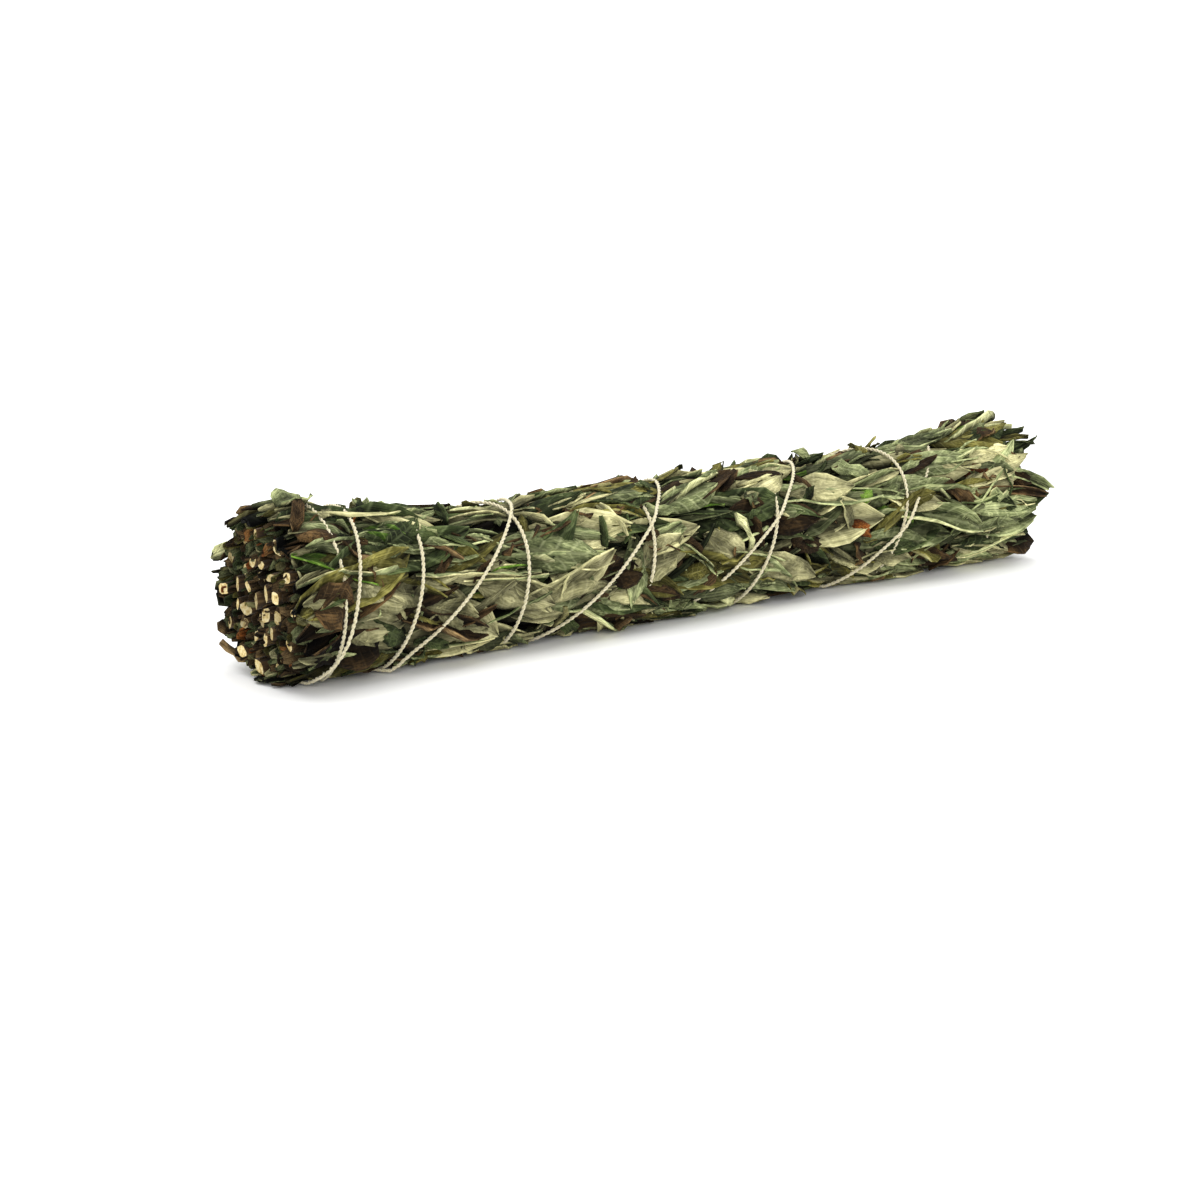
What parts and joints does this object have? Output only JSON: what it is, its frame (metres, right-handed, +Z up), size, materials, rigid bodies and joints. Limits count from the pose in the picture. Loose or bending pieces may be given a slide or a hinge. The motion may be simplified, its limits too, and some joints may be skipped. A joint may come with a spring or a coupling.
{
  "type": "sage bunch",
  "caption": "Dried bunch of leafy sage stems lying on its side, with cut stem ends at one end and leaf tips at the other, bound along its length with crossing cotton thread.",
  "frame": {"origin": "on the surface that the bunch lies on, under the middle of its box", "axes": "+X along the bunch from the cut stem ends to the leaf tips, +Y to the back, +Z up"},
  "size_m": [0.212, 0.0404, 0.0369],
  "materials": {
    "leaf_green": "matte",
    "leaf_grey": "matte",
    "leaf_olive": "matte",
    "cotton_thread": "matte"
  },
  "bodies": {
    "root": {"binding_thread": "cotton_thread", "leafy_stem_centre": "leaf_green", "leafy_stem_inner_01": "leaf_green", "leafy_stem_inner_02": "leaf_grey", "leafy_stem_inner_03": "leaf_olive", "leafy_stem_inner_04": "leaf_green", "leafy_stem_inner_05": "leaf_grey", "leafy_stem_inner_06": "leaf_olive", "leafy_stem_middle_01": "leaf_green", "leafy_stem_middle_02": "leaf_grey", "leafy_stem_middle_03": "leaf_olive", "leafy_stem_middle_04": "leaf_green", "leafy_stem_middle_05": "leaf_grey", "leafy_stem_middle_06": "leaf_olive", "leafy_stem_middle_07": "leaf_green", "leafy_stem_middle_08": "leaf_grey", "leafy_stem_middle_09": "leaf_olive", "leafy_stem_middle_10": "leaf_green", "leafy_stem_middle_11": "leaf_grey", "leafy_stem_middle_12": "leaf_olive", "leafy_stem_outer_01": "leaf_green", "leafy_stem_outer_02": "leaf_grey", "leafy_stem_outer_03": "leaf_olive", "leafy_stem_outer_04": "leaf_green", "leafy_stem_outer_05": "leaf_grey", "leafy_stem_outer_06": "leaf_olive", "leafy_stem_outer_07": "leaf_green", "leafy_stem_outer_08": "leaf_grey", "leafy_stem_outer_09": "leaf_olive", "leafy_stem_outer_10": "leaf_green", "leafy_stem_outer_11": "leaf_grey", "leafy_stem_outer_12": "leaf_olive"}
  },
  "joints": []
}
